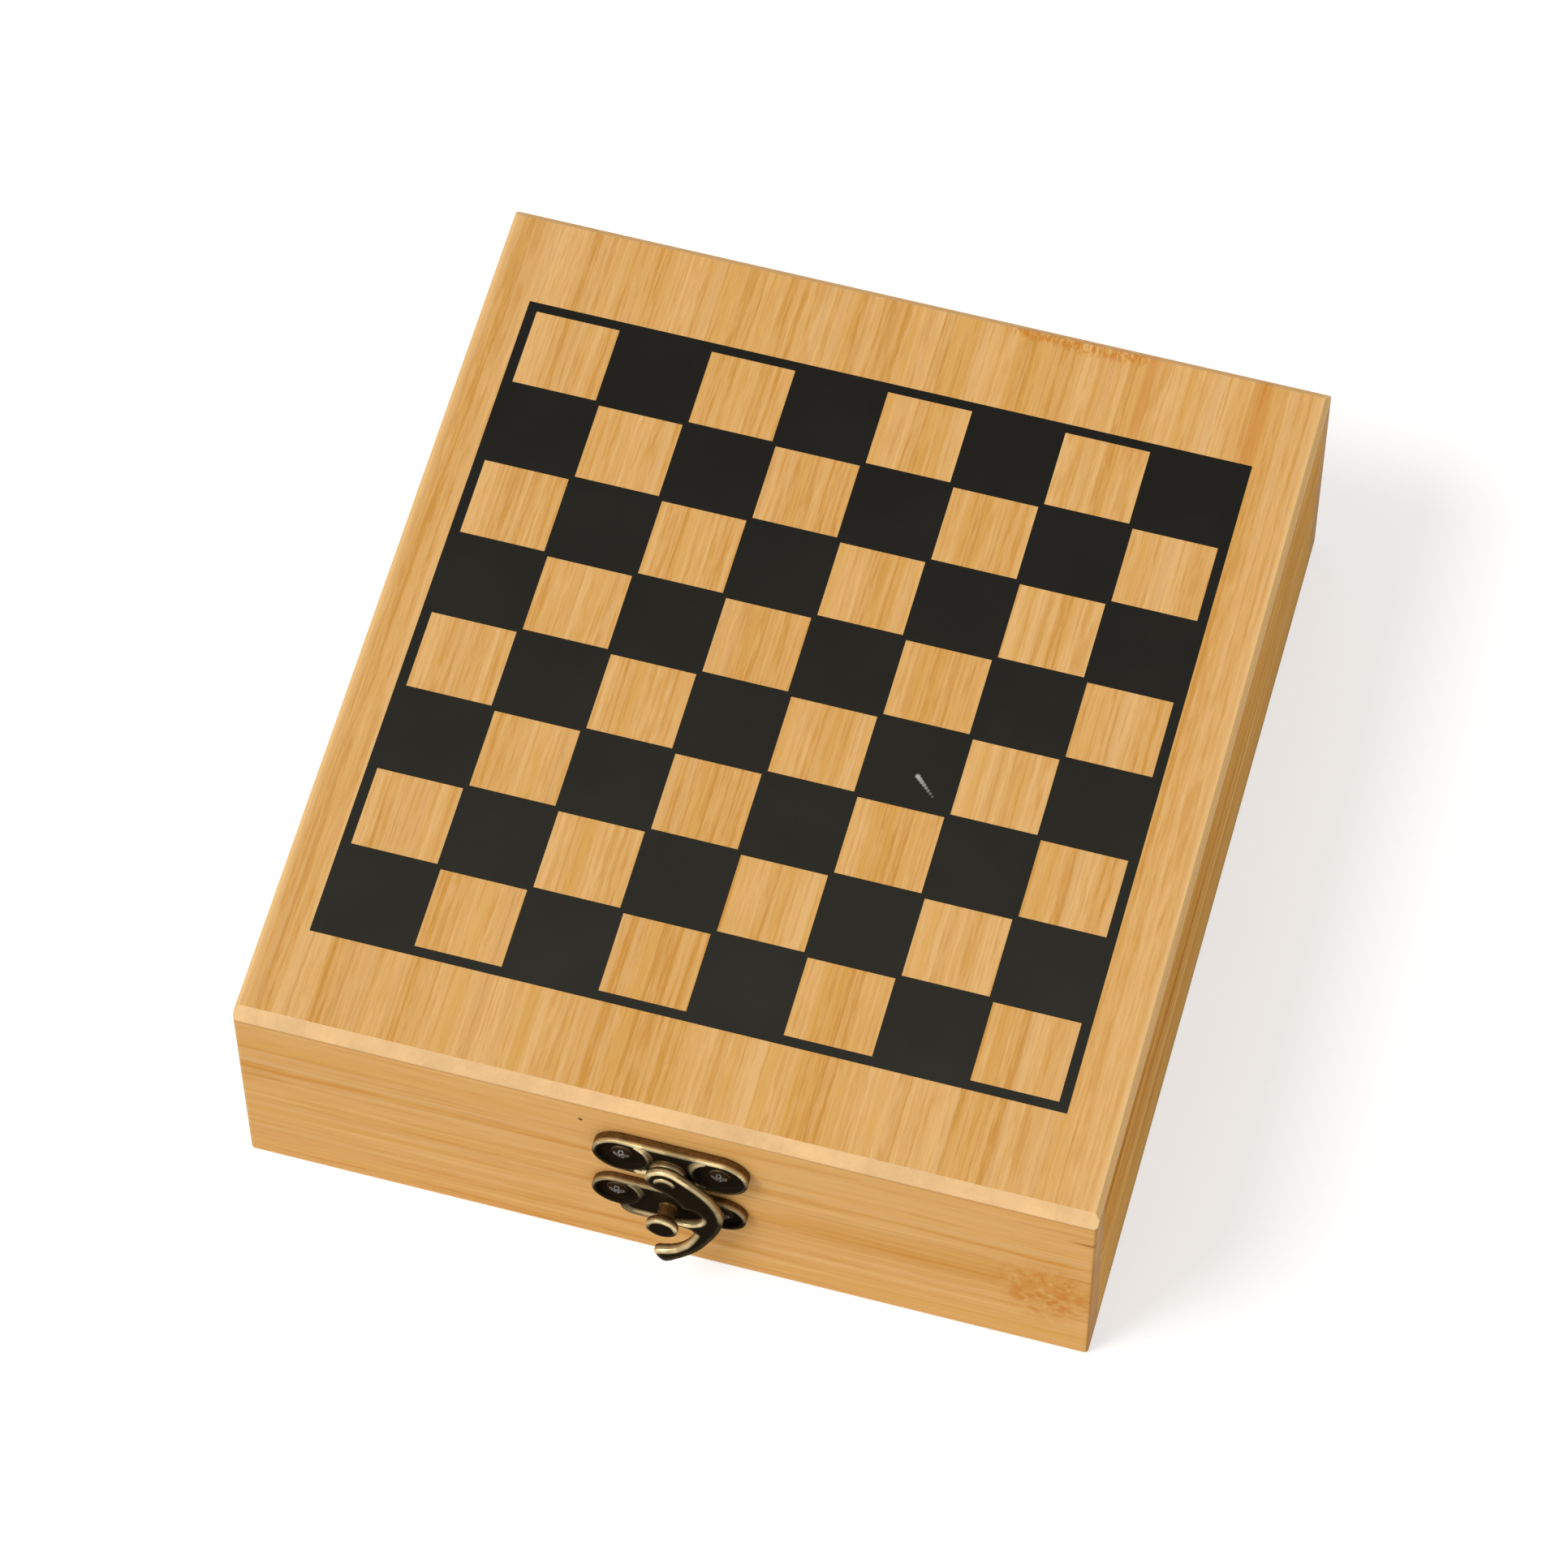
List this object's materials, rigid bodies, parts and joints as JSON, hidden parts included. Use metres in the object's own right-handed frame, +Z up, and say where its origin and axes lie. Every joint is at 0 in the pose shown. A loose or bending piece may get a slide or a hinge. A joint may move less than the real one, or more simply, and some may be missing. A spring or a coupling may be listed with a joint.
{
  "type": "chess box with hinged lid",
  "caption": "Small bamboo chess box: the hinged lid is the printed board, a horn-shaped latch holds it shut, and the men stand in a tray inside.",
  "frame": {"origin": "centre of the wooden case on its underside", "axes": "+X to the right seen from the front, +Y to the hinges at the back, +Z up; the latch faces -Y"},
  "size_m": [0.15, 0.1802, 0.0501],
  "materials": {
    "bamboo": "satin clear finish over laminated strips",
    "plain_ply": "bare thin ply",
    "board_ink": "matt charcoal print",
    "antique_bronze": "dark patina, worn bright on the rims",
    "pin_steel": "bright drawn wire",
    "felt": "pressed felt",
    "light_men": "waxed light wood",
    "dark_men": "stained dark wood"
  },
  "bodies": {
    "base": {"base_front_wall": "bamboo", "base_back_wall": "bamboo", "base_left_wall": "bamboo", "base_right_wall": "bamboo", "base_floor": "plain_ply", "latch_catch_plate": "antique_bronze", "catch_plate_screws": "antique_bronze", "left_hinge_base_leaf": "antique_bronze", "right_hinge_base_leaf": "antique_bronze", "left_hinge_pin": "pin_steel", "right_hinge_pin": "pin_steel", "felt_liner": "felt", "men_tray": "plain_ply", "light_king": "light_men", "light_queen": "light_men", "light_bishops": "light_men", "light_knights": "light_men", "light_rooks": "light_men", "light_pawns": "light_men", "dark_king": "dark_men", "dark_queen": "dark_men", "dark_bishops": "dark_men", "dark_knights": "dark_men", "dark_rooks": "dark_men", "dark_pawns": "dark_men"},
    "lid": {"lid_front_wall": "bamboo", "lid_back_wall": "bamboo", "lid_left_wall": "bamboo", "lid_right_wall": "bamboo", "lid_top_panel": "bamboo", "board_print": "board_ink", "latch_pivot_plate": "antique_bronze", "latch_rivet": "antique_bronze", "pivot_plate_screws": "antique_bronze", "left_hinge_lid_leaf": "antique_bronze", "right_hinge_lid_leaf": "antique_bronze"},
    "latch": {"latch_arm": "antique_bronze"}
  },
  "joints": [
    {"name": "lid_hinge", "type": "hinge", "parent": "base", "child": "lid", "pos_m": [0, 0.0868, 0.0288], "axis": [-1, 0, 0], "range_deg": [0, 180]},
    {"name": "latch_pivot", "type": "hinge", "parent": "lid", "child": "latch", "pos_m": [0.0015, -0.0885, 0.0346], "axis": [0, -1, 0], "range_deg": [-22, 295]}
  ]
}
